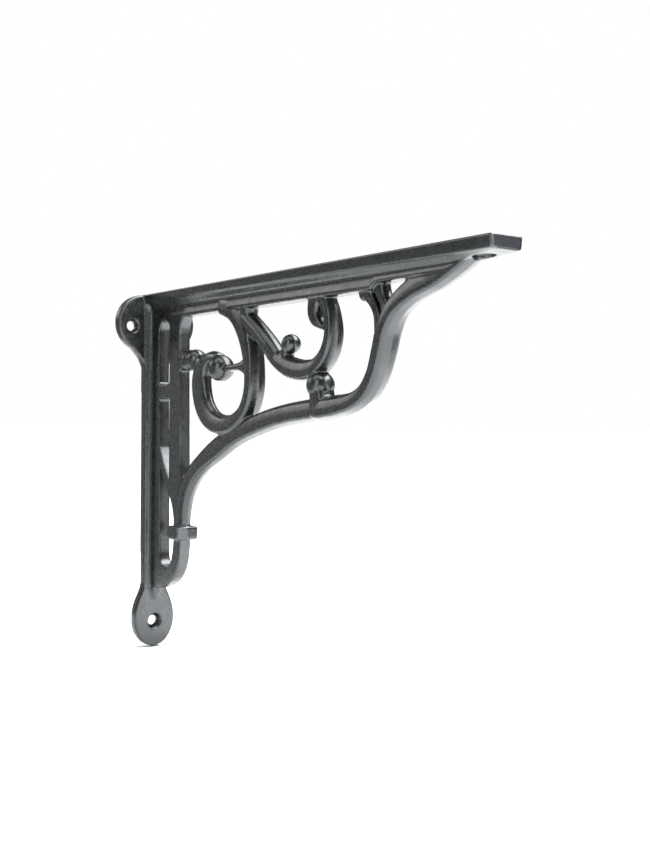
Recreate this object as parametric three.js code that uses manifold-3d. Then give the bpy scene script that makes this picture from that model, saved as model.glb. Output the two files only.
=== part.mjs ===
import * as THREE from 'three';
import { mergeVertices } from 'three/addons/utils/BufferGeometryUtils.js';
import Module from 'manifold-3d';

const wasm = await Module();
wasm.setup();

// A scrolled shelf bracket, cast in one piece.
// X runs out from the wall, Y across the casting and Z up, in millimetres.
// The origin is on the wall face, midway between the two upper screw holes.

// Driving dimensions
const armLength = 254;
const overallHeight = 178;
const shelfAboveHoles = 16;
const armWidth = 15;
const armEdgeAtWall = 3.4;
const armEdgeAtTip = 5;
const armCoveDepth = 7.0;
const armRibDepth = 12.8;
const armRibWidth = 5.6;
const armRibWidthAtScrolls = 8;
const legRibWidth = 4.9;
const flangeWidthAtTop = 13.6;
const flangeWidthAtFoot = 12.4;
const wallThickness = 4.8;
const legRibDepth = 13.2;
const innerBarFrom = 23.2;
const innerBarTo = 33.6;
const collarWidth = 12;
const upperEarReach = 21.4;
const upperEarRadius = 14.2;
const upperEarDrop = 14.4;
const upperHoleSpacing = 27;
const lowerEarHalfWidth = 11.2;
const lowerEarReach = 32;
const lowerHoleFromFoot = 12.8;
const tipHoleFromEnd = 11;
const screwHole = 5;
const countersink = 8.6;
const countersinkDepth = 2.4;

// How finely curves are cut into flats
const limbSteps = 3;
const ballSegments = 18;
const holeSegments = 20;

const castIron = new THREE.MeshStandardMaterial({
  color: 0x3a3b3d,
  roughness: 0.48,
  metalness: 0.7,
});

// Heights are given as a drop below the shelf face.
const below = (drop) => shelfAboveHoles - drop;

// The leg, strap and scrollwork are drawn on a bracket of the usual length and height. What lies
// beyond the inner bar, or under the arm's rib, stretches with the real one.
const usualLength = 254;
const usualHeight = 178;
const extraLength = (armLength - usualLength) / (usualLength - innerBarTo);
const extraHeight = (overallHeight - usualHeight) / (usualHeight - armRibDepth);
const alongArm = (out) => out + Math.max(out - innerBarTo, 0) * extraLength;
const atDrop = (drop) => below(drop + Math.max(drop - armRibDepth, 0) * extraHeight);
const lowerHoleDrop = overallHeight - lowerHoleFromFoot;
const lowerEarTop = overallHeight - lowerEarReach;

function toSolid(geometry) {
  const bare = geometry.clone();
  bare.deleteAttribute('normal');
  bare.deleteAttribute('uv');
  const merged = mergeVertices(bare, 1e-4);
  return new wasm.Manifold(new wasm.Mesh({
    numProp: 3,
    vertProperties: new Float32Array(merged.attributes.position.array),
    triVerts: new Uint32Array(merged.index.array),
  }));
}

function toGeometry(solid) {
  const mesh = solid.getMesh();
  const geometry = new THREE.BufferGeometry();
  geometry.setAttribute('position', new THREE.BufferAttribute(mesh.vertProperties, 3));
  geometry.setIndex(new THREE.BufferAttribute(mesh.triVerts, 1));
  return geometry;
}

// A closed skin over rings that all have the same number of points
function loft(rings) {
  const count = rings[0].length;
  const positions = rings.flat().flatMap((point) => point.toArray());
  const faces = [];
  for (let ring = 0; ring < rings.length - 1; ring += 1) {
    for (let i = 0; i < count; i += 1) {
      const a = ring * count + i;
      const b = ring * count + (i + 1) % count;
      faces.push(a, b, b + count, a, b + count, a + count);
    }
  }
  const last = (rings.length - 1) * count;
  const outline = THREE.ShapeUtils.triangulateShape(flatten(rings[0]), []);
  const endOutline = THREE.ShapeUtils.triangulateShape(flatten(rings[rings.length - 1]), []);
  for (const [a, b, c] of outline) {
    faces.push(a, c, b);
  }
  for (const [a, b, c] of endOutline) {
    faces.push(last + a, last + b, last + c);
  }
  const geometry = new THREE.BufferGeometry();
  geometry.setAttribute('position', new THREE.Float32BufferAttribute(positions, 3));
  geometry.setIndex(faces);
  return toSolid(geometry);
}

// A ring's points in its own plane, turning the same way as the ring
function flatten(ring) {
  const origin = ring[0];
  const normal = new THREE.Vector3();
  for (let i = 0; i < ring.length; i += 1) {
    const next = ring[(i + 1) % ring.length].clone().sub(origin);
    normal.add(ring[i].clone().sub(origin).cross(next));
  }
  normal.normalize();
  const u = new THREE.Vector3(0, 1, 0);
  if (Math.abs(normal.y) > 0.9) {
    u.set(1, 0, 0);
  }
  u.addScaledVector(normal, -u.dot(normal)).normalize();
  const v = normal.clone().cross(u);
  return ring.map((point) => {
    const offset = point.clone().sub(origin);
    return new THREE.Vector2(offset.dot(u), offset.dot(v));
  });
}

// A curved limb of the scrollwork. Each station is [out, drop, thickness, width]; the outer and
// inner faces rise by the crown to the parting line in the middle, and the corners are eased.
function limb(stations, crown = 0.7, ease = 0.8) {
  const route = new THREE.CatmullRomCurve3(
    stations.map(([out, drop]) => new THREE.Vector3(alongArm(out), 0, atDrop(drop))),
    false,
    'centripetal',
  );
  const gauges = new THREE.SplineCurve(
    stations.map(([, , thickness, width]) => new THREE.Vector2(thickness, width)),
  );
  const steps = (stations.length - 1) * limbSteps;
  const rings = [];
  for (let i = 0; i <= steps; i += 1) {
    const centre = route.getPoint(i / steps);
    const tangent = route.getTangent(i / steps);
    const across = new THREE.Vector3(tangent.z, 0, -tangent.x);
    const gauge = gauges.getPoint(i / steps);
    const halfT = gauge.x / 2;
    const halfW = gauge.y / 2;
    const outer = [
      [halfT - ease, -halfW],
      [halfT, ease - halfW],
      [halfT + crown, 0],
      [halfT, halfW - ease],
      [halfT - ease, halfW],
    ];
    const inner = outer.map(([t, y]) => [-t, -y]);
    rings.push([...outer, ...inner].map(([t, y]) => {
      const point = centre.clone().addScaledVector(across, t);
      point.y = y;
      return point;
    }));
  }
  return loft(rings);
}

function ball(out, drop, radius) {
  const geometry = new THREE.SphereGeometry(radius, ballSegments, ballSegments / 2);
  geometry.rotateX(Math.PI / 2);
  geometry.translate(alongArm(out), 0, atDrop(drop));
  return toSolid(geometry);
}

// A web of even width across the casting, from a shape drawn in X and Z
function web(shape, width) {
  const geometry = new THREE.ExtrudeGeometry(shape, {
    depth: width,
    bevelEnabled: false,
    curveSegments: 8,
  });
  geometry.rotateX(Math.PI / 2);
  geometry.translate(0, width / 2, 0);
  return toSolid(geometry);
}

// A plate lying on the wall, from a shape drawn in Y and Z
function wallPlate(shape) {
  const geometry = new THREE.ExtrudeGeometry(shape, {
    depth: wallThickness,
    bevelEnabled: false,
    curveSegments: 14,
  });
  const toWall = new THREE.Matrix4().set(0, 0, 1, 0, 1, 0, 0, 0, 0, 1, 0, 0, 0, 0, 0, 1);
  geometry.applyMatrix4(toWall);
  return toSolid(geometry);
}

// The shelf arm: a flat edge, a sloping cove below it and a rib down the middle. The rib runs out
// into a thick pad at the tip.
function arm() {
  const ribHalfAtScrolls = armRibWidthAtScrolls / 2;
  const stations = [
    { out: 0, cove: armCoveDepth, rib: armRibDepth, ribHalf: armRibWidth / 2 },
    { out: alongArm(40), cove: armCoveDepth, rib: armRibDepth, ribHalf: armRibWidth / 2 },
    { out: alongArm(80), cove: armCoveDepth, rib: armRibDepth, ribHalf: ribHalfAtScrolls },
    { out: armLength - 69, cove: armCoveDepth, rib: armRibDepth, ribHalf: ribHalfAtScrolls },
    { out: armLength - 66, cove: armCoveDepth, rib: 10.4, ribHalf: ribHalfAtScrolls },
    { out: armLength - 26, cove: armCoveDepth, rib: 10, ribHalf: ribHalfAtScrolls },
    { out: armLength - 19, cove: 6.8, rib: 7.4, ribHalf: ribHalfAtScrolls },
    { out: armLength - 13, cove: 6.2, rib: 6.3, ribHalf: 5 },
    { out: armLength - 6, cove: 5.5, rib: 5.6, ribHalf: 5.6 },
    { out: armLength - 0.7, cove: 5.1, rib: 5.2, ribHalf: 5.6 },
    { out: armLength, cove: 4.8, rib: 4.9, ribHalf: 5.4, inset: 0.6 },
  ];
  const rings = stations.map(({ out, cove, rib, ribHalf, inset = 0 }) => {
    const edge = THREE.MathUtils.mapLinear(out, 0, armLength, armEdgeAtWall, armEdgeAtTip);
    const half = armWidth / 2 - inset;
    const side = [[half, inset / 2], [half, edge - inset], [ribHalf, cove], [ribHalf, rib]];
    const mirrored = side.map(([y, drop]) => [-y, drop]).reverse();
    return [...mirrored, ...side].map(([y, drop]) => new THREE.Vector3(out, y, below(drop)));
  });
  return loft(rings.map((ring) => ring.slice().reverse()));
}

// The wall flange between the ears, with the corners against its rib filled
function flange() {
  const ribHalf = legRibWidth / 2;
  const section = (drop, width) => [
    [0, -width / 2], [wallThickness, -width / 2], [wallThickness + 0.5, -ribHalf - 1.6],
    [wallThickness + 2.2, -ribHalf], [wallThickness + 2.2, ribHalf],
    [wallThickness + 0.5, ribHalf + 1.6], [wallThickness, width / 2], [0, width / 2],
  ].map(([out, y]) => new THREE.Vector3(out, y, below(drop)));
  return loft([section(lowerEarTop + 1, flangeWidthAtFoot), section(0, flangeWidthAtTop)]);
}

// The upper ears, one each side of the arm
function upperEars() {
  const shape = new THREE.Shape();
  const earCentre = upperEarReach - upperEarRadius;
  const neck = flangeWidthAtTop / 2;
  const neckDrop = upperEarDrop + upperEarRadius + 8.4;
  const neckPull = neckDrop - 5;
  const arcEnd = 1.11;
  const arcEndOut = earCentre + upperEarRadius * Math.cos(arcEnd);
  const arcEndDrop = upperEarDrop + upperEarRadius * Math.sin(arcEnd);
  shape.moveTo(-neck, below(neckDrop));
  shape.quadraticCurveTo(-neck - 1, below(neckPull), -arcEndOut, below(arcEndDrop));
  shape.absarc(-earCentre, below(upperEarDrop), upperEarRadius, arcEnd - Math.PI, -Math.PI * 1.5, true);
  shape.lineTo(earCentre, below(upperEarDrop - upperEarRadius));
  shape.absarc(earCentre, below(upperEarDrop), upperEarRadius, Math.PI / 2, -arcEnd, true);
  shape.quadraticCurveTo(neck + 1, below(neckPull), neck, below(neckDrop));
  return wallPlate(shape);
}

// The lower ear, a slightly drawn-out round hanging from the flange
function lowerEar() {
  const shape = new THREE.Shape();
  const half = lowerEarHalfWidth;
  const neck = flangeWidthAtFoot / 2;
  const top = below(lowerEarTop);
  const widest = below(lowerHoleDrop - 1.6);
  const foot = below(overallHeight);
  shape.moveTo(-neck, top);
  shape.bezierCurveTo(-neck - 0.4, top - 5, -half, top - 9, -half, widest);
  shape.bezierCurveTo(-half, foot + 6, -6, foot, 0, foot);
  shape.bezierCurveTo(6, foot, half, foot + 6, half, widest);
  shape.bezierCurveTo(half, top - 9, neck + 0.4, top - 5, neck, top);
  return wallPlate(shape);
}

// The leg's web, from the wall flange to the inner bar and the strap, with its three slots
function legWeb() {
  const shape = new THREE.Shape();
  shape.moveTo(wallThickness - 1, atDrop(6));
  shape.lineTo(wallThickness - 1, atDrop(147));
  shape.quadraticCurveTo(25, atDrop(147), 30.5, atDrop(128));
  shape.lineTo(33, atDrop(108));
  shape.quadraticCurveTo(34, atDrop(99), 37.5, atDrop(93));
  shape.lineTo(innerBarTo + 1, atDrop(86));
  shape.lineTo(innerBarTo, atDrop(50));
  shape.lineTo(innerBarTo - 0.6, atDrop(19));
  shape.quadraticCurveTo(innerBarTo - 0.4, atDrop(14), innerBarTo + 5, atDrop(11.5));
  shape.lineTo(innerBarTo + 5, atDrop(6));

  const slotFrom = legRibDepth - 1;
  const slotHalf = (innerBarFrom - slotFrom) / 2;
  const upper = new THREE.Path();
  upper.moveTo(slotFrom, atDrop(44));
  upper.absarc(slotFrom + slotHalf, atDrop(13.4 + slotHalf), slotHalf, Math.PI, 0, true);
  upper.lineTo(innerBarFrom, atDrop(44));
  upper.quadraticCurveTo(slotFrom + slotHalf, atDrop(49), slotFrom, atDrop(44));

  const middle = new THREE.Path();
  middle.moveTo(legRibDepth - 0.6, atDrop(53));
  middle.quadraticCurveTo(slotFrom + slotHalf, atDrop(50), innerBarFrom + 0.2, atDrop(53));
  middle.lineTo(innerBarFrom + 0.4, atDrop(92.5));
  middle.quadraticCurveTo(legRibDepth + 5, atDrop(88), legRibDepth, atDrop(76));

  const lower = new THREE.Path();
  lower.moveTo(legRibDepth + 0.6, atDrop(85));
  lower.quadraticCurveTo(17.5, atDrop(92.5), 23.3, atDrop(99.4));
  lower.quadraticCurveTo(29, atDrop(106), 29, atDrop(116));
  lower.lineTo(28.6, atDrop(126));
  lower.bezierCurveTo(27.4, atDrop(132.5), 23.5, atDrop(136), 20.8, atDrop(136));
  lower.quadraticCurveTo(legRibDepth + 1.2, atDrop(136), legRibDepth + 1.2, atDrop(128));

  shape.holes.push(upper, middle, lower);
  return web(shape, legRibWidth);
}

// The strap: a loop off the leg's foot, the long arch, and the sweep up to the arm's tip
function strap() {
  return limb([
    [6, 142.4, 10.5, 5.6],
    [18, 141.2, 9.4, 5.8],
    [27.4, 136.4, 8.2, 6.2],
    [31.6, 128, 7.2, 6.2],
    [32.8, 117, 7.2, 6.2],
    [33.6, 107, 7.6, 6.4],
    [36.8, 97.6, 7.8, 6.4],
    [43.2, 89.6, 7.8, 6.6],
    [53.5, 82.6, 7.8, 6.8],
    [67, 76, 9, 7],
    [84, 69.4, 7.6, 7.4],
    [103, 64.2, 7.4, 7.8],
    [122, 60.6, 7, 8.2],
    [142, 58.5, 7, 8.6],
    [158, 57.2, 7, 9],
    [170.4, 55.4, 6, 9],
    [179.4, 51.4, 5.4, 9],
    [185.2, 44.6, 5.4, 9.4],
    [188.8, 36, 5.6, 10],
    [191.6, 27.6, 5.8, 10],
    [196.4, 20.4, 6.4, 9.2],
    [206, 14.4, 7.4, 8.2],
    [219, 10.2, 8.4, 7.8],
    [231, 6.8, 6, 8],
    [240, 4, 2.4, 8],
  ], 0.9);
}

// The collar clasped round the strap, its front corner sagging a little
function collar() {
  const half = collarWidth / 2;
  const section = (drop, sag) => [
    [26.4, -half, 0], [37.8, -half, sag], [38.6, 0, sag * 1.5], [37.8, half, sag], [26.4, half, 0],
  ].map(([out, y, extra]) => new THREE.Vector3(alongArm(out), y, atDrop(drop + extra)));
  return loft([section(120.6, 0.8), section(114.8, 0)]);
}

// The large scroll: down from the arm, round the bottom, up and over to its ball
function wallScroll() {
  const body = limb([
    [73, 7, 14, 8.4],
    [80.5, 10, 13, 8.6],
    [87, 16.4, 9, 9.2],
    [92.6, 25, 7.2, 9.2],
    [95.8, 33, 6, 9.2],
    [97.2, 41, 4.6, 9.2],
    [96.8, 49.6, 4.6, 9.2],
    [92.4, 58.2, 5.6, 9.2],
    [83.4, 63.6, 6.6, 9],
    [72.4, 65.2, 7.4, 8.4],
    [62, 62.8, 8.6, 7.6],
    [54.4, 56.4, 9.8, 7],
    [50.8, 48, 10.8, 6.6],
    [50.6, 41.4, 10, 6.6],
    [54.4, 36.2, 6.6, 6.6],
    [60.6, 33.6, 4, 6.6],
    [67, 34, 3.4, 6.6],
  ], 0.4);
  const tie = limb([
    [72, 39.6, 5, 6.6],
    [83, 39, 2.8, 6.4],
    [88.6, 38.6, 4.2, 6.6],
    [92.4, 38.4, 8, 7],
    [96, 38.4, 11, 7.4],
  ], 0.3);
  return body.add(tie).add(ball(68.2, 38.8, 6.2));
}

// The round knob that ties the large scroll to the inner bar
function scrollKnob() {
  const neck = limb([[31, 35.2, 7, 5.4], [42, 34.2, 7.6, 6.4], [52, 37, 7, 6.4]], 0.6);
  return neck.add(ball(39.4, 34.2, 5.2)).add(ball(45, 34, 5));
}

// The second scroll: a thick round rod down to its first ball, then a bowl up to the hook
function middleScroll() {
  const rod = limb([
    [84, 12, 6.4, 8.2],
    [89.5, 16, 6.4, 8.2],
    [96.1, 20.4, 6.4, 8.2],
    [103.4, 25.4, 6.4, 8.2],
    [111.2, 31.4, 6.4, 8.2],
    [118, 37, 5.2, 7.4],
  ], 0.9, 2.2);
  const bowl = limb([
    [112.4, 33.4, 5, 6.8],
    [118.8, 37, 6.2, 7.8],
    [128, 40.6, 7.4, 8.4],
    [138, 42, 7.2, 8.4],
    [147, 40.2, 6, 8.4],
    [153.6, 35, 4.8, 8.4],
    [156.4, 27.6, 4, 8.2],
    [155, 19.4, 4.2, 7.6],
    [150.6, 11.6, 5.2, 7.4],
  ], 0.4);
  const stalk = limb([[118, 38.2, 5, 6], [122, 35, 4.4, 6], [125.6, 31, 4, 6]], 0.4, 0.6);
  const hook = limb([
    [147, 9.4, 9.4, 7],
    [145.2, 14, 7.4, 7],
    [144.8, 18.4, 6.4, 7],
    [146.3, 21.9, 4.4, 6.8],
    [149.4, 23.9, 2.8, 6.4],
    [153, 25, 2.4, 6],
  ], 0.4);
  const rodTop = ball(92.2, 13.8, 4.1);
  return rod.add(rodTop).add(bowl).add(stalk).add(hook).add(ball(125.9, 30.4, 4.2));
}

// The ball on a short stem that holds the second scroll off the arch
function archBall() {
  const stem = limb([
    [148, 45, 5.4, 7.6],
    [148, 50, 6.6, 9.4],
    [148.8, 55, 6.4, 9.8],
    [149.8, 59, 4.2, 9.6],
    [150.4, 61.2, 1.8, 8.6],
  ], 0.4);
  return stem.add(ball(147.6, 48.4, 5.9));
}

// The forked leaf under the arm: two tines that run down into the strap
function forkLeaf() {
  const outerTine = limb([
    [179.8, 9.6, 7, 5.8],
    [181.2, 14.4, 5, 5.8],
    [184, 17.8, 3.6, 5.8],
    [186.5, 22, 3.4, 5.8],
    [187.7, 28, 4.2, 6.2],
    [188, 34, 4.6, 6.6],
  ], 0.3, 0.7);
  const innerTine = limb([
    [186.4, 9.6, 7, 5.8],
    [188.8, 14.9, 4.6, 5.8],
    [190.8, 18.2, 4.2, 5.8],
    [191.6, 24, 4, 6.4],
  ], 0.3, 0.7);
  return outerTine.add(innerTine).add(ball(177.3, 13.8, 2.8));
}

// A countersunk screw hole bored along X from the wall face
function wallHole(y, drop) {
  const profile = [
    [0, -1], [screwHole / 2, -1], [screwHole / 2, wallThickness - countersinkDepth],
    [countersink / 2, wallThickness], [countersink / 2, wallThickness + 4], [0, wallThickness + 4],
  ];
  const points = profile.map(([r, along]) => new THREE.Vector2(r, along));
  const geometry = new THREE.LatheGeometry(points, holeSegments);
  geometry.rotateZ(-Math.PI / 2);
  geometry.translate(0, y, below(drop));
  return toSolid(geometry);
}

// The screw hole up through the arm's tip
function tipHole() {
  const profile = [
    [0, -1], [screwHole / 2, -1], [screwHole / 2, armEdgeAtTip - countersinkDepth],
    [countersink / 2, armEdgeAtTip], [countersink / 2, armEdgeAtTip + 3], [0, armEdgeAtTip + 3],
  ];
  const points = profile.map(([r, along]) => new THREE.Vector2(r, along));
  const geometry = new THREE.LatheGeometry(points, holeSegments);
  geometry.rotateX(-Math.PI / 2);
  geometry.translate(armLength - tipHoleFromEnd, 0, below(0));
  return toSolid(geometry);
}

function casting() {
  const parts = [
    arm(), flange(), upperEars(), lowerEar(), legWeb(), strap(), collar(),
    wallScroll(), scrollKnob(), middleScroll(), archBall(), forkLeaf(),
  ];
  const holes = [
    wallHole(-upperHoleSpacing / 2, shelfAboveHoles),
    wallHole(upperHoleSpacing / 2, shelfAboveHoles),
    wallHole(0, lowerHoleDrop),
    tipHole(),
  ];
  const whole = parts.reduce((sum, part) => sum.add(part));
  return holes.reduce((rest, hole) => rest.subtract(hole), whole);
}

const bracket = new THREE.Mesh(toGeometry(casting()), castIron);
bracket.name = 'bracket';

const group = new THREE.Group();
group.add(bracket);

export default group;
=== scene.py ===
import math

import bmesh
import bpy
from mathutils import Matrix, Vector
from mathutils.geometry import interpolate_bezier


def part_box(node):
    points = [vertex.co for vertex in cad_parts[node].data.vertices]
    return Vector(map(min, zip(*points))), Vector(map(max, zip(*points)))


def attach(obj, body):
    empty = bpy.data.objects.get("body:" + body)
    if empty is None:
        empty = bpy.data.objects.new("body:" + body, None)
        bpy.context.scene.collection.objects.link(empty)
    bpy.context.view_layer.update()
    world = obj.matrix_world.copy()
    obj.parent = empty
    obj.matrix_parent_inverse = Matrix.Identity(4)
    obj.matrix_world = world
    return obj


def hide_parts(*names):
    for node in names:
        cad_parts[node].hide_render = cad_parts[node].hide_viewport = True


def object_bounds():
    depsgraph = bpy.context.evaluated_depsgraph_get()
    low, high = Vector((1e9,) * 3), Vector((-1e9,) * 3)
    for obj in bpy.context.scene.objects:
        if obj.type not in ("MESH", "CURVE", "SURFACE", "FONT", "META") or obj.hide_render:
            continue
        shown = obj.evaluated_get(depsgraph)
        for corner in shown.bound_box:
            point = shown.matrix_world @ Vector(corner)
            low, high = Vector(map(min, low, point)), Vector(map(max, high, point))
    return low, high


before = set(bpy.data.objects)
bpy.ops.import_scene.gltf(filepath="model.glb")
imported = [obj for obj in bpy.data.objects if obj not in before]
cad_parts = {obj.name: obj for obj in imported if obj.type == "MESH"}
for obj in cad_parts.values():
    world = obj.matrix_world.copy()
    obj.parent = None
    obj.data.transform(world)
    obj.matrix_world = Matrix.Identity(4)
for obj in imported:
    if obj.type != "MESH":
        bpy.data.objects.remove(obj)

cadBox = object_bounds()
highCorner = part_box("bracket")[1] * 1000
shelfFace = highCorner.z        # the casting is drawn in millimetres and set to metres at the end
tip = highCorner.x

# X runs out from the wall and Y across the casting. Heights are given as a drop below the shelf face.


def smoothRoute(points, pull, perSpan):
    ends = [points[0] * 2 - points[1]] + points + [points[-1] * 2 - points[-2]]
    route = []
    for a, b, c, d in zip(ends, ends[1:], ends[2:], ends[3:]):
        before, here, after = [max((q - p).length, 1e-6) ** pull for p, q in ((a, b), (b, c), (c, d))]
        leave = ((b - a) / before - (c - a) / (before + here) + (c - b) / here) * here / 3
        arrive = ((c - b) / here - (d - b) / (here + after) + (d - c) / after) * here / 3
        route += interpolate_bezier(b, b + leave, c - arrive, c, perSpan + 1)[:-1]
    return route + [points[-1]]


def bezier(*knots):        # a cubic from four points, or a quadratic from three, without its last point
    points = [Vector(knot) for knot in knots]
    if len(points) == 3:
        start, pull, end = points
        points = [start, start.lerp(pull, 2 / 3), end.lerp(pull, 2 / 3), end]
    return [tuple(point) for point in interpolate_bezier(*points, 11)[:-1]]


def arc(centre, radius, fromAngle, toAngle, steps=24):
    angles = [fromAngle + (toAngle - fromAngle) * i / steps for i in range(steps + 1)]
    return [(centre[0] + radius * math.cos(a), centre[1] + radius * math.sin(a)) for a in angles]


class Casting:        # gathers every closed shell of the casting before they are fused into one skin
    def __init__(self):
        self.bm = bmesh.new()

    def add(self, shell, name):
        bmesh.ops.remove_doubles(shell, verts=shell.verts, dist=1e-4)
        bmesh.ops.recalc_face_normals(shell, faces=shell.faces)
        gaps = sum(not edge.is_manifold for edge in shell.edges)
        if gaps:
            print("open edges in", name, gaps)
        mesh = bpy.data.meshes.new(name)
        shell.to_mesh(mesh)
        shell.free()
        self.bm.from_mesh(mesh)
        bpy.data.meshes.remove(mesh)


def skin(rings):        # a closed skin over rings of points
    spans, sides = len(rings) - 1, len(rings[0])
    bm = bmesh.new()
    bmesh.ops.create_grid(bm, x_segments=spans, y_segments=sides, size=0.5)
    for vert in bm.verts:
        ring = rings[round((vert.co.x + 0.5) * spans)]
        vert.co = ring[round((vert.co.y + 0.5) * sides) % sides]
    bmesh.ops.remove_doubles(bm, verts=bm.verts, dist=1e-5)
    bmesh.ops.holes_fill(bm, edges=[edge for edge in bm.edges if edge.is_boundary])
    return bm


# Section shared by the scrollwork: swelling sides that lean a little, and a soft ridge along both faces
section = dict(sides=44, square=7.0, swell=0.07, mostSwell=0.6, swellFrom=4, lean=0.16, soft=0.2,
               pull=0.5, perSpan=8)


def limb(stations, crown=0.7, square=section["square"], lean=section["lean"]):
    places = [Vector((out, shelfFace - drop)) for out, drop, _, _ in stations]
    route = smoothRoute(places, section["pull"], section["perSpan"])
    gauges = smoothRoute([Vector((thickness, width)) for _, _, thickness, width in stations], 0, section["perSpan"])
    fullRise = math.hypot(1, section["soft"])
    rings = []
    for i, (centre, gauge) in enumerate(zip(route, gauges)):
        along = (route[min(i + 1, len(route) - 1)] - route[max(i - 1, 0)]).normalized()
        swell = min(section["swell"] * gauge.x, section["mostSwell"]) if square > section["swellFrom"] else 0
        ring = []
        for side in range(section["sides"]):
            angle = 2 * math.pi * side / section["sides"]
            c, s = [round(f(angle), 9) for f in (math.cos, math.sin)]
            across, rise = [math.copysign(abs(f) ** (2 / square), f) for f in (c, s)]
            ridge = crown * (fullRise - math.hypot(across, section["soft"])) / (fullRise - section["soft"])
            height = rise * gauge.x / 2 + (math.copysign(ridge, s) if s else 0)
            half = gauge.y / 2 - swell * rise ** 2 + lean * along.x * height
            ring.append(Vector((centre.x + along.y * height, across * half, centre.y - along.x * height)))
        rings.append(ring)
    return skin(rings)


rimCut = dict(steps=3, sharpFrom=1.0)        # a rim is where two faces turn by more than this many radians


def plate(outline, holes, low, high, toPlace, rim):        # outline is in the plate's own plane
    bm = bmesh.new()
    edges = []
    for loop in [outline] + holes:
        verts = [bm.verts.new((u, v, low)) for u, v in loop]
        edges += [bm.edges.new(pair) for pair in zip(verts, verts[1:] + verts[:1])]
    bmesh.ops.triangle_fill(bm, edges=edges, use_beauty=True)
    raised = bmesh.ops.extrude_face_region(bm, geom=bm.faces[:])["geom"]
    raisedVerts = [part for part in raised if isinstance(part, bmesh.types.BMVert)]
    bmesh.ops.translate(bm, vec=(0, 0, high - low), verts=raisedVerts)
    bmesh.ops.recalc_face_normals(bm, faces=bm.faces)
    rims = [e for e in bm.edges if len(e.link_faces) == 2 and e.calc_face_angle() > rimCut["sharpFrom"]
            and (rim[0] if e.verts[0].co.z < (low + high) / 2 else rim[1])]
    bmesh.ops.bevel(bm, geom=rims, offset=max(rim), segments=rimCut["steps"], profile=0.5, affect="EDGES",
                    material=-1)
    bm.transform(toPlace)
    return bm


onWall = Matrix(((0, 0, 1, 0), (1, 0, 0, 0), (0, 1, 0, 0), (0, 0, 0, 1)))        # (y, z, x) to (x, y, z)
upright = Matrix(((1, 0, 0, 0), (0, 0, 1, 0), (0, 1, 0, 0), (0, 0, 0, 1)))        # (x, z, y) to (x, y, z)
flat = Matrix(((0, 1, 0, 0), (1, 0, 0, 0), (0, 0, 1, 0), (0, 0, 0, 1)))        # (y, x, z) to (x, y, z)


ballSteps = dict(around=40, down=24)


def ball(out, drop, radius):
    bm = bmesh.new()
    bmesh.ops.create_uvsphere(bm, u_segments=ballSteps["around"], v_segments=ballSteps["down"], radius=radius)
    bmesh.ops.translate(bm, vec=(out, 0, shelfFace - drop), verts=bm.verts)
    return bm


casting = Casting()

# Shelf arm: a flat edge, a hollow cove below it and a rib, running out into a pad at the tip
arm = dict(halfWidth=7.5, edgeAtWall=3.4, edgeAtTip=5.0, corner=0.8, topCorner=0.6, undercut=0.42,
           hollowAcross=0.42, hollowDown=0.43, ribSpread=0.5, ribCorner=1.2)
armRib = [        # out, cove, rib, half width of the rib
    (0, 7.0, 12.8, 2.8), (40, 7.0, 12.8, 2.8), (60, 7.0, 12.8, 3.4), (80, 7.0, 12.8, 4.0),
    (tip - 69, 7.0, 12.8, 4.0), (tip - 66, 7.0, 10.4, 4.0), (tip - 26, 7.0, 10.0, 4.0),
    (tip - 19, 6.8, 7.4, 4.0), (tip - 13, 6.2, 6.3, 4.6), (tip - 6, 5.5, 5.7, 5.2),
    (tip - 0.8, 5.1, 5.3, 5.2),
]


def armRing(out, cove, rib, ribHalf, inset=0.0):
    half = arm["halfWidth"] - inset
    edge = arm["edgeAtWall"] + (arm["edgeAtTip"] - arm["edgeAtWall"]) * out / tip - inset
    r, topCorner = arm["corner"], arm["topCorner"]
    hollow = (ribHalf + arm["hollowAcross"] * (half - ribHalf), edge + arm["hollowDown"] * (cove - edge))
    side = bezier((half - topCorner, inset / 2), (half, inset / 2), (half, inset / 2 + topCorner))
    low, depth = half - arm["undercut"], max(min((rib - cove) / 4, 1), 0.02)
    foot, footDrop = ribHalf + arm["ribSpread"] * depth, rib - 1.1 * depth        # the rib's lower corner
    bend, bendDrop = ribHalf + 0.9 * depth, cove - 0.5 * depth        # where the cove turns into the rib
    side += bezier((low, edge - r), (low, edge), (low - r, edge + 0.1))
    side += bezier((low - r, edge + 0.1), hollow, (bend, bendDrop))
    side += bezier((bend, bendDrop), (ribHalf, cove), (ribHalf, cove + 1.4 * depth))
    side += bezier((ribHalf, cove + 1.4 * depth), (ribHalf, cove + 2 * depth), (foot, footDrop))
    side += bezier((foot, footDrop), (foot, rib), (foot - arm["ribCorner"], rib))
    side.append((foot - arm["ribCorner"], rib))
    mirrored = [(-y, drop) for y, drop in reversed(side)]
    return [Vector((out, y, shelfFace - drop)) for y, drop in side + mirrored]


rings = [armRing(*station) for station in armRib]
rings.append(armRing(tip - 0.25, 5.0, 5.1, 5.2, 0.2))
rings.append(armRing(tip, 4.8, 4.9, 5.0, 0.7))
casting.add(skin(rings), "arm")

# Wall flange, with hollow corners against the leg's rib
flange = dict(thickness=4.8, halfAtTop=6.8, halfAtFoot=6.2, ribHalf=3.1, hollow=2.8, corner=0.9, foot=147)


def flangeRing(drop, half, rib=flange["ribHalf"], hollow=flange["hollow"]):
    front, corner = flange["thickness"], flange["corner"]
    side = [(0, half)] + bezier((front - corner, half), (front, half), (front, half - corner))
    side += bezier((front, half - corner), (front, rib), (front + hollow, rib))
    side += [(front + hollow, rib)]
    return [Vector((x, y, shelfFace - drop)) for x, y in side + [(x, -y) for x, y in reversed(side)]]


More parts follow.
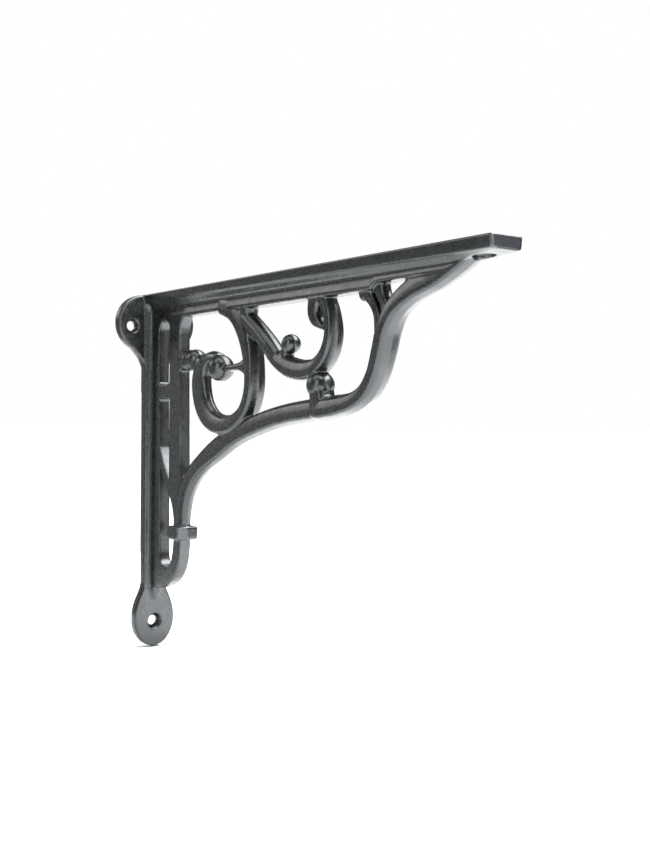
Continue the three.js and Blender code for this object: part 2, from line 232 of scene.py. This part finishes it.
flangeRings = [flangeRing(0, flange["halfAtTop"]), flangeRing(flange["foot"], flange["halfAtFoot"])]
flangeRings += [flangeRing(flange["foot"] + 3, flange["halfAtFoot"], 1.9, 1.6),
                flangeRing(flange["foot"] + 7, flange["halfAtFoot"], 1.0, 0.2)]
casting.add(skin(flangeRings), "flange")

# The corner between the arm's cove and the flange, filled to a hollow
cornerFill = [        # y, drop of the cove, front of the flange, reach of the fill
    (-6.7, 3.5, 4.6, 2.6), (-5.6, 4.2, 4.8, 3.6), (-4.3, 4.9, 4.9, 5), (-3, 6.6, 5.6, 7),
    (3, 6.6, 5.6, 7), (4.3, 4.9, 4.9, 5), (5.6, 4.2, 4.8, 3.6), (6.7, 3.5, 4.6, 2.6),
]


def cornerRing(y, cove, front, reach):
    ring = [(2, 2), (front + reach, 2)] + bezier((front + reach, cove), (front, cove), (front, cove + reach))
    return [Vector((x, y, shelfFace - drop)) for x, drop in ring + [(front, cove + reach), (2, cove + reach)]]


casting.add(skin([cornerRing(*station) for station in cornerFill]), "cornerFill")

# Ears: two at the top, one hanging at the foot
upperEar = dict(reach=21.4, radius=14.2, drop=14.4, neckDrop=37, rim=1.0, thickness=4.2)
earCentre = upperEar["reach"] - upperEar["radius"]
neck = flange["halfAtTop"]
farSide = arc((earCentre, shelfFace - upperEar["drop"]), upperEar["radius"], math.pi / 2, -1.11)
neckEnd = (neck, shelfFace - upperEar["neckDrop"])
farSide += bezier((13.5, shelfFace - 27.2), (neck + 1, shelfFace - 32), neckEnd)[1:] + [neckEnd]
upperOutline = farSide + [(-y, z) for y, z in reversed(farSide)]
casting.add(plate(upperOutline, [], 0, upperEar["thickness"], onWall, (0, upperEar["rim"])), "upperEars")

lowerEar = dict(half=11.2, top=146, widest=163.6, foot=178, rim=1.0, thickness=4.7)
neck, half = flange["halfAtFoot"], lowerEar["half"]
top, widest, foot = [shelfFace - lowerEar[key] for key in ("top", "widest", "foot")]
side = bezier((neck, top), (neck + 0.4, top - 5), (half, top - 9), (half, widest))
side += bezier((half, widest), (half, foot + 6), (6, foot), (0, foot))
lowerOutline = side + [(0, foot)] + [(-y, z) for y, z in reversed(side)]
casting.add(plate(lowerOutline, [], 0, lowerEar["thickness"], onWall, (0, lowerEar["rim"])), "lowerEar")

# Leg web: rib, slots, inner bar and the loop at its foot
leg = dict(half=3.1, slotFrom=12.2, innerFrom=23.2, rim=0.5)


def dropped(points):
    return [(out, shelfFace - drop) for out, drop in points]


webOutline = dropped(
    [(3.8, 6), (3.8, 147.4)] + bezier((9, 147.4), (20, 147.4), (30, 143), (34, 133))
    + bezier((34, 133), (35.8, 128), (36, 118))
    + [(36, 118), (36, 110), (32, 104), (34.6, 97), (35.4, 93), (34.6, 86), (33.6, 50)]
    + bezier((33.2, 22), (33.2, 14.5), (38.6, 11.5)) + [(38.6, 11.5), (38.6, 6)]
)
slotMid = (leg["slotFrom"] + leg["innerFrom"]) / 2
slotRadius = (leg["innerFrom"] - leg["slotFrom"]) / 2
upperSlot = arc((slotMid, shelfFace - 13.4 - slotRadius), slotRadius, 0, math.pi)
upperSlot += dropped(
    bezier((leg["slotFrom"], 44.6), (slotMid, 47), (leg["innerFrom"], 44.6)) + [(leg["innerFrom"], 44.6)]
)
middleSlot = dropped(
    bezier((12.6, 53), (slotMid, 50), (23.4, 53)) + [(23.4, 53), (23.6, 92.5)]
    + bezier((23.6, 92.5), (18.2, 88), (13.2, 76))[1:] + [(13.2, 76)]
)
lowerSlot = dropped(
    bezier((13.8, 85), (17.5, 92.5), (23.3, 99.4)) + bezier((23.3, 99.4), (29, 106), (29, 116))
    + bezier((29, 116), (29, 132.5), (25, 136), (20.8, 136)) + bezier((20.8, 136), (14.4, 136), (14.4, 128))
    + [(14.4, 128)]
)
casting.add(plate(webOutline, [upperSlot, middleSlot, lowerSlot], -leg["half"], leg["half"], upright,
                  (leg["rim"], leg["rim"])), "legWeb")

# Strap: up from the loop at the collar, the long arch, and the sweep up to the arm's tip
strapRoute = [
    (32.6, 119.5, 7.2, 6.2), (32.8, 117, 7.2, 6.2), (33.6, 107, 7.6, 6.4), (36.8, 97.6, 7.8, 6.4),
    (43.2, 89.6, 7.8, 6.6), (53.5, 82.6, 7.8, 6.8), (67, 76, 9, 7), (84, 69.4, 7.6, 7.4), (103, 64.2, 7.4, 7.8),
    (122, 60.6, 7, 8.2), (142, 58.5, 7, 8.6), (158, 57.2, 7, 9), (170.4, 55.4, 6, 9),
    (179.4, 51.4, 5.4, 9), (185.2, 44.6, 5.4, 9.4), (188.8, 36, 5.6, 10), (191.6, 27.6, 5.8, 10),
    (196.4, 20.4, 6.4, 9.2), (206, 14.4, 7.4, 8.2), (219, 10.2, 8.4, 7.8), (231, 6.8, 6, 8), (240, 4, 2.4, 8),
]
casting.add(limb(strapRoute, 1.3, 8), "strap")

# Collar clasped round the strap, pointed in front
collar = dict(back=26.4, front=37.8, ridge=38.6, half=6.0, top=114.8, bottom=121.2, rim=0.8)
collarOutline = [(-collar["half"], collar["back"]), (-collar["half"], collar["front"]), (0, collar["ridge"]),
                 (collar["half"], collar["front"]), (collar["half"], collar["back"])]
casting.add(plate(collarOutline, [], shelfFace - collar["bottom"], shelfFace - collar["top"], flat,
                  (collar["rim"], collar["rim"])), "collar")

# Large scroll, its ball and the tie to its right stroke
largeScroll = [
    (73, 8.8, 10.6, 8.4), (80.5, 10.6, 12, 8.6), (87, 16.4, 9, 9.2), (92.6, 25, 7.2, 9.2),
    (95.8, 33, 6.4, 9.2), (97.2, 41, 5.4, 9.2), (96.8, 49.6, 5.3, 9.2), (92.4, 58.2, 5.6, 9.2), (83.4, 63.6, 6.6, 9),
    (72.4, 65.2, 7.4, 8.4), (62, 62.8, 8.6, 7.6), (54.4, 56.4, 9.8, 7), (50.8, 48, 10.8, 6.6),
    (50.6, 41.4, 10, 6.6), (54.4, 36.2, 6.6, 6.6), (60.6, 33.6, 4, 6.6), (67, 34, 3.4, 6.6),
]
casting.add(limb(largeScroll, 1.15), "largeScroll")
tie = [
    (73, 39.2, 3.2, 5), (79, 39, 2.7, 5.8), (84, 38.8, 2.9, 6.2), (88.6, 38.6, 4.2, 6.6), (92.4, 38.4, 8, 7),
    (96, 38.4, 11, 7.4),
]
casting.add(limb(tie, 0.3, 5), "tie")
casting.add(ball(68.2, 38.8, 6.2), "largeBall")

# Knob of two lobes that ties the large scroll to the inner bar
casting.add(limb([(31, 35.2, 7, 5.4), (42, 34.2, 7.6, 6.4), (52, 37, 7, 6.4)], 0.6, 4), "knobNeck")
casting.add(ball(39.4, 34.2, 5.2), "knob")
casting.add(ball(45, 34, 5), "knobFar")

# Middle scroll: a round rod down to its first ball, then a bowl up to the hook
rod = [
    (84, 12, 8.2, 8.2), (89.5, 16, 8.2, 8.2), (96.1, 20.4, 8.2, 8.2), (103.4, 25.4, 8.2, 8.2),
    (111.2, 31.4, 8.2, 8.2), (118, 37, 7, 7.4),
]
casting.add(limb(rod, 0, 2.2, 0), "rod")
casting.add(ball(92.2, 13.8, 4.1), "rodTop")
bowl = [
    (112.4, 33.4, 5, 6.8), (118.8, 37, 6.2, 7.8), (128, 40.6, 7.4, 8.4), (138, 42, 7.2, 8.4),
    (147, 40.2, 6, 8.4), (153.6, 35, 4.8, 8.4), (156.4, 27.6, 4, 8.2), (155, 19.4, 4.2, 7.6), (150.6, 11.6, 5.2, 7.4),
]
casting.add(limb(bowl, 1.0), "bowl")
casting.add(limb([(118, 38.2, 5, 6), (122, 35, 4.4, 6), (125.6, 31, 4, 6)], 0.4, 3), "stalk")
casting.add(ball(125.9, 30.4, 4.2), "stalkBall")
hook = [
    (147, 9.4, 9.4, 7), (145.2, 14, 7.4, 7), (144.8, 18.4, 6.4, 7), (146.3, 21.9, 4.4, 6.8),
    (149.4, 23.9, 2.8, 6.4), (153, 25, 2.4, 6),
]
casting.add(limb(hook, 0.4, 4), "hook")

# Ball on a short stem between the middle scroll and the arch, which swells under the stem
archStem = [(148, 45, 6, 7.6), (148.4, 50, 7.6, 9), (149.4, 55, 8, 9.4), (150.4, 58, 7, 9.2)]
casting.add(limb(archStem, 0.4, 4), "archStem")
archSwell = [
    (145.6, 58.6, 3.4, 8), (147.4, 58.5, 6.2, 9.6), (152, 58, 7.2, 10), (160, 57.2, 7, 9.7),
    (168, 56, 6, 9.1),
]
casting.add(limb(archSwell, 1.1), "archSwell")
casting.add(ball(147.6, 48.4, 5.9), "archBall")

# Forked leaf under the arm: two tines that run down into the strap
outerTine = [
    (179.8, 9.6, 7, 5.8), (181.2, 14.4, 5, 5.8), (184, 17.8, 3.6, 5.8), (186.5, 22, 3.4, 5.8),
    (187.7, 28, 4.2, 6.2), (188, 34, 4.6, 6.6),
]
innerTine = [(186.4, 9.6, 7, 5.8), (188.8, 14.9, 4.6, 5.8), (190.8, 18.2, 4.2, 5.8), (191.6, 24, 4, 6.4)]
casting.add(limb(outerTine, 0.3, 5), "outerTine")
casting.add(limb(innerTine, 0.3, 5), "innerTine")
casting.add(ball(177.3, 13.8, 2.8), "leafFoot")
print("casting: drawn,", len(casting.bm.faces), "faces")

# Screw holes: a bore with a countersink, spun round its own axis
screw = dict(bore=2.4, sink=4.1, sinkDepth=2.4, beyond=4.0, sinkReach=0.01, steps=48,
             upperApart=27, upperDrop=16, lowerDrop=165.2, fromTip=11, tipThickness=5.0)


def screwHole(thickness, toPlace):
    bm = bmesh.new()
    end = thickness + screw["beyond"]
    profile = [(0, -1), (screw["bore"], -1), (screw["bore"], thickness - screw["sinkDepth"]),
               (screw["sink"], thickness), (screw["sink"], end), (0, end)]
    verts = [bm.verts.new((r, 0, along)) for r, along in profile]
    edges = [bm.edges.new(pair) for pair in zip(verts, verts[1:])]
    bmesh.ops.spin(bm, geom=verts + edges, cent=(0, 0, 0), axis=(0, 0, 1), angle=2 * math.pi,
                   steps=screw["steps"], use_merge=True)
    bmesh.ops.remove_doubles(bm, verts=bm.verts, dist=1e-4)
    bmesh.ops.recalc_face_normals(bm, faces=bm.faces)
    bm.transform(toPlace)
    return bm


outFromWall = Matrix.Rotation(math.pi / 2, 4, "Y")
downFromArm = Matrix.Rotation(math.pi, 4, "X")
holeBm = bmesh.new()
wallHoles = [(-screw["upperApart"] / 2, screw["upperDrop"]), (screw["upperApart"] / 2, screw["upperDrop"]),
             (0, screw["lowerDrop"])]
holes = [(flange["thickness"], Matrix.Translation((0, y, shelfFace - drop)) @ outFromWall) for y, drop in wallHoles]
holes.append((screw["tipThickness"], Matrix.Translation((tip - screw["fromTip"], 0, shelfFace)) @ downFromArm))
for thickness, place in holes:
    hole = screwHole(thickness, place)
    mesh = bpy.data.meshes.new("hole")
    hole.to_mesh(mesh)
    holeBm.from_mesh(mesh)
    hole.free()


def pieceFrom(bm, name):
    mesh = bpy.data.meshes.new(name)
    bmesh.ops.scale(bm, vec=(0.001, 0.001, 0.001), verts=bm.verts)
    bm.to_mesh(mesh)
    bm.free()
    piece = bpy.data.objects.new(name, mesh)
    bpy.context.scene.collection.objects.link(piece)
    return piece


# Fuse the shells into one skin, bore it, ease it as sand casting does, and thin it to an even mesh
fuse = dict(voxel=0.00033, quickVoxel=0.0008, ease=5, triangles=192000)
bracket = pieceFrom(casting.bm, "bracket_casting")
bores = pieceFrom(holeBm, "bores")
remesh = bracket.modifiers.new("fuse", "REMESH")
remesh.mode = "VOXEL"
remesh.voxel_size = fuse["voxel"]
boring = bracket.modifiers.new("bore", "BOOLEAN")
boring.operation = "DIFFERENCE"
boring.solver = "MANIFOLD"
boring.object = bores
evening = bracket.modifiers.new("even", "REMESH")
evening.mode = "VOXEL"
evening.voxel_size = remesh.voxel_size
easing = bracket.modifiers.new("ease", "SMOOTH")
easing.factor = 0.5
easing.iterations = fuse["ease"]


def applied(piece):
    evaluated = piece.evaluated_get(bpy.context.evaluated_depsgraph_get())
    mesh = bpy.data.meshes.new_from_object(evaluated)
    old = piece.data
    piece.modifiers.clear()
    piece.data = mesh
    bpy.data.meshes.remove(old)


bpy.context.view_layer.update()
applied(bracket)
bpy.data.objects.remove(bores)
triangles = sum(len(face.vertices) - 2 for face in bracket.data.polygons)
print("casting: fused,", triangles, "triangles")
if triangles > fuse["triangles"]:
    thinning = bracket.modifiers.new("thin", "DECIMATE")
    thinning.ratio = fuse["triangles"] / triangles
    applied(bracket)
print("casting: thinned,", len(bracket.data.polygons), "faces")
for face in bracket.data.polygons:
    face.use_smooth = True

# Where the surface stands out it is rubbed, and where it is hollow it is darkened with painted shade, as the
# countersinks are
# The last value lowers the mark in the countersinks, toward the painted shade
rubAndShade = dict(settle=4, passes=10, reach=0.0003, calmFrom=0.005, calmTo=0.009, sinkShade=-0.5)
standMesh = bmesh.new()
standMesh.from_mesh(bracket.data)


def easeFor(passes):
    for _ in range(passes):
        bmesh.ops.smooth_vert(standMesh, verts=standMesh.verts, factor=0.5,
                              use_axis_x=True, use_axis_y=True, use_axis_z=True)
    return [vert.co.copy() for vert in standMesh.verts]


normals = [vert.normal.copy() for vert in standMesh.verts]
before, after = easeFor(rubAndShade["settle"]), easeFor(rubAndShade["passes"])
holeMiddles = [(place @ Vector((0, 0, thickness))) / 1000 for thickness, place in holes]
standMesh.free()


# Above zero the mark rubs a corner paler; below zero it gives painted shade in hollows
def wearAndShade(co, normal, eased):
    standing = max(-1.0, min(1.0, (co - eased).dot(normal) / rubAndShade["reach"]))
    away = min((co - middle).length for middle in holeMiddles)
    calm = max(0.0, min(1.0, (away - rubAndShade["calmFrom"]) / (rubAndShade["calmTo"] - rubAndShade["calmFrom"])))
    inSink = away < screw["sink"] / 1000 and co.x < screw["sinkReach"]
    return standing * calm + (rubAndShade["sinkShade"] if inSink else 0)


stand = bracket.data.attributes.new("stand", "FLOAT", "POINT")
stand.data.foreach_set("value", [wearAndShade(*place) for place in zip(before, normals, after)])
print("casting: wear marked")


def linear(hexColour):
    values = [int(hexColour[i:i + 2], 16) / 255 for i in (1, 3, 5)]
    return [v / 12.92 if v <= 0.04045 else ((v + 0.055) / 1.055) ** 2.4 for v in values] + [1.0]


def addNode(tree, kind, settings=None, inputs=None):
    node = tree.nodes.new(kind)
    for name, value in (settings or {}).items():
        setattr(node, name, value)
    for name, value in (inputs or {}).items():
        if isinstance(value, bpy.types.NodeSocket):
            tree.links.new(value, node.inputs[name])
        else:
            node.inputs[name].default_value = value
    return node


# Sand-cast grey iron, blacked and waxed: a dark metal sheen, a fine grain from the sand, soft unevenness,
# paler metal where corners have been rubbed, and a darker colour painted as shade in hollows
iron = dict(finish="#4b4d4e", bare="#707174", hollow="#38393a", metallic=0.95, rough=0.27, lessRough=0.04,
            moreRough=0.06, grain=0.0006, grainHeight=0.0001, lumps=0.004, lumpHeight=0.0004, lumpShare=0.5,
            rubFrom=0.95, rubTo=1.6, shadeFrom=-0.7, shadeTo=-1.3)


def castIron():
    material = bpy.data.materials.new("blacked_sand_cast_iron")
    material.use_nodes = True
    tree = material.node_tree
    tree.nodes.clear()
    place = addNode(tree, "ShaderNodeTexCoord").outputs["Object"]
    grain = addNode(tree, "ShaderNodeTexNoise", None,
                    {"Vector": place, "Scale": 1 / iron["grain"], "Detail": 3.0, "Roughness": 0.6})
    lumps = addNode(tree, "ShaderNodeTexNoise", None,
                    {"Vector": place, "Scale": 1 / iron["lumps"], "Detail": 2.0, "Roughness": 0.5})
    standing = addNode(tree, "ShaderNodeAttribute", {"attribute_name": "stand"}).outputs["Fac"]
    uneven = addNode(tree, "ShaderNodeMath", {"operation": "MULTIPLY_ADD"},
                     {0: lumps.outputs["Fac"], 1: iron["lumpShare"], 2: standing}).outputs[0]
    rubbed = addNode(tree, "ShaderNodeMapRange", {"clamp": True},
                     {"Value": uneven, "From Min": iron["rubFrom"], "From Max": iron["rubTo"]}).outputs[0]
    # Painted shade: the hollow colour is mixed into the finish where the surface is hollow
    paintedShade = addNode(tree, "ShaderNodeMapRange", {"clamp": True},
                   {"Value": standing, "From Min": iron["shadeFrom"], "From Max": iron["shadeTo"]}).outputs[0]
    finish, bare, hollow = [linear(iron[key]) for key in ("finish", "bare", "hollow")]
    withPaintedShade = addNode(tree, "ShaderNodeMix", {"data_type": "RGBA"},
                    {"Factor": paintedShade, "A": finish, "B": hollow}).outputs["Result"]
    colour = addNode(tree, "ShaderNodeMix", {"data_type": "RGBA"},
                     {"Factor": rubbed, "A": withPaintedShade, "B": bare}).outputs["Result"]
    rough = addNode(tree, "ShaderNodeMapRange", {"clamp": True},
                    {"Value": lumps.outputs["Fac"], "From Min": 0.3, "From Max": 0.7,
                     "To Min": iron["rough"] - iron["lessRough"],
                     "To Max": iron["rough"] + iron["moreRough"]}).outputs[0]
    coarse = addNode(tree, "ShaderNodeBump", None,
                     {"Height": lumps.outputs["Fac"], "Strength": 0.2, "Distance": iron["lumpHeight"]})
    bump = addNode(tree, "ShaderNodeBump", None,
                   {"Height": grain.outputs["Fac"], "Strength": 0.25, "Distance": iron["grainHeight"],
                    "Normal": coarse.outputs["Normal"]})
    shader = addNode(tree, "ShaderNodeBsdfPrincipled", None,
                     {"Base Color": colour, "Metallic": iron["metallic"], "Roughness": rough,
                      "Normal": bump.outputs["Normal"]})
    addNode(tree, "ShaderNodeOutputMaterial", None, {"Surface": shader.outputs["BSDF"]})
    return material


bracket.data.materials.clear()
bracket.data.materials.append(castIron())
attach(bracket, "root")
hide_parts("bracket")

# Camera: a little below the shelf arm, seen from the near side and the front
view = dict(place=(0.5335, -0.2758, -0.0477), azimuth=54.199, down=0.539, roll=0.635, lens=48.17, sensor=36,
            nearest=0.01)
azimuth, down, roll = [math.radians(view[key]) for key in ("azimuth", "down", "roll")]
forward = Vector((-math.sin(azimuth) * math.cos(down), math.cos(azimuth) * math.cos(down), -math.sin(down)))
right = Vector((math.cos(azimuth), math.sin(azimuth), 0))
up = right.cross(forward)
rolledRight = right * math.cos(roll) + up * math.sin(roll)
rolledUp = up * math.cos(roll) - right * math.sin(roll)
cameraData = bpy.data.cameras.new("camera")
cameraData.lens = view["lens"]
cameraData.sensor_width = view["sensor"]
cameraData.clip_start = view["nearest"]
camera = bpy.data.objects.new("camera", cameraData)
camera.matrix_world = Matrix.Translation(view["place"]) @ Matrix(
    (rolledRight, rolledUp, -forward)).transposed().to_4x4()
bpy.context.scene.collection.objects.link(camera)
bpy.context.scene.camera = camera

# Studio: a pale floor, an even light from above, softboxes in front, to the sides and low down, and two dark
# cards beside the camera's view that keep the casting's near side and the far half of its fronts dark
studio = dict(floor=30.0, floorColour="#f4f4f4", floorGap=0.0005, matt=0.9, sky=1.0, haze="#d5dadb", dim=0.26,
              above=4.2, aboveSpread=70, aboveFrom=(0.1, 0.25, 1))


def stagePiece(name, bm, colour):        # painted board, matt, so that it shows no light of its own
    mesh = bpy.data.meshes.new(name)
    bm.to_mesh(mesh)
    bm.free()
    piece = bpy.data.objects.new(name, mesh)
    bpy.context.scene.collection.objects.link(piece)
    material = bpy.data.materials.new(name + "_matt")
    material.use_nodes = True
    shader = material.node_tree.nodes["Principled BSDF"]
    shader.inputs["Base Color"].default_value = linear(colour)
    shader.inputs["Roughness"].default_value = studio["matt"]
    mesh.materials.append(material)
    return piece


floorHeight = cadBox[0].z - studio["floorGap"]
floorBm = bmesh.new()
bmesh.ops.create_grid(floorBm, x_segments=1, y_segments=1, size=studio["floor"])
bmesh.ops.translate(floorBm, vec=(0, 0, floorHeight), verts=floorBm.verts)
stagePiece("floor", floorBm, studio["floorColour"])


def standingCard(name, corners, top, colour):        # a folded card on the floor, its corners seen from above
    bm = bmesh.new()
    for start, end in zip(corners, corners[1:]):
        bm.faces.new([bm.verts.new((*place, z)) for place, z in (
            (start, floorHeight), (end, floorHeight), (end, top), (start, top))])
    stagePiece(name, bm, colour).visible_camera = False


standingCard("nearCard", [(-0.95, -0.1), (-0.14, -0.1), (0.02, -0.2), (0.12, -0.2)], 0.01, "#808080")
standingCard("farCard", [(0.3, 0.42), (0.46, 0.24)], 0.03, "#404040")


def softbox(name, place, aim, width, height, brightness, colour):
    data = bpy.data.lights.new(name, "AREA")
    data.shape = "RECTANGLE"
    data.size, data.size_y = width, height
    data.energy = brightness * math.pi * width * height
    data.color = linear(colour)[:3]
    light = bpy.data.objects.new(name, data)
    light.location = place
    light.rotation_euler = (Vector(aim) - Vector(place)).to_track_quat("-Z", "Y").to_euler()
    light.visible_camera = False
    bpy.context.scene.collection.objects.link(light)


above = bpy.data.lights.new("above", "SUN")
above.energy = studio["above"]
above.angle = math.radians(studio["aboveSpread"])
aboveLight = bpy.data.objects.new("above", above)
aboveLight.rotation_euler = Vector(studio["aboveFrom"]).to_track_quat("Z", "Y").to_euler()
bpy.context.scene.collection.objects.link(aboveLight)
scrollwork, legFront, white = (0.1, 0, -0.03), (0.1, 0, -0.05), "#ffffff"
softbox("overhead", (0.65, 0.45, 1.15), (0.3, 0.15, 0), 1.6, 1.2, 7.5, white)
softbox("front", (1.2, 0.12, 0.1), legFront, 0.48, 0.8, 4.1, white)
softbox("farFront", (0.95, 0.68, 0.12), legFront, 0.26, 0.8, 1.0, "#f1edff")
softbox("nearTop", (-0.1, -0.66, 0.96), scrollwork, 0.6, 0.5, 2.4, white)
softbox("floorGlow", (0.18, 0.2, floorHeight + 0.001), (0.18, 0.2, 1), 0.4, 0.36, 1.6, white)
softbox("strip", (0.51, -1.02, 0.35), scrollwork, 0.15, 0.75, 10.0, white)
softbox("nearSide", (-1.0, -0.69, 0.55), scrollwork, 0.9, 0.5, 2.7, "#fffdf6")

world = bpy.data.worlds.new("studio")
bpy.context.scene.world = world
world.use_nodes = True
tree = world.node_tree
tree.nodes.clear()
seen = addNode(tree, "ShaderNodeBackground", None, {"Color": (1, 1, 1, 1), "Strength": studio["sky"]})
lit = addNode(tree, "ShaderNodeBackground", None, {"Color": linear(studio["haze"]), "Strength": studio["dim"]})
ray = addNode(tree, "ShaderNodeLightPath")
mixed = addNode(tree, "ShaderNodeMixShader", None,
                {"Fac": ray.outputs["Is Camera Ray"], 1: lit.outputs[0], 2: seen.outputs[0]})
addNode(tree, "ShaderNodeOutputWorld", None, {"Surface": mixed.outputs[0]})
bpy.context.scene.view_settings.view_transform = "Standard"
print("studio: set")
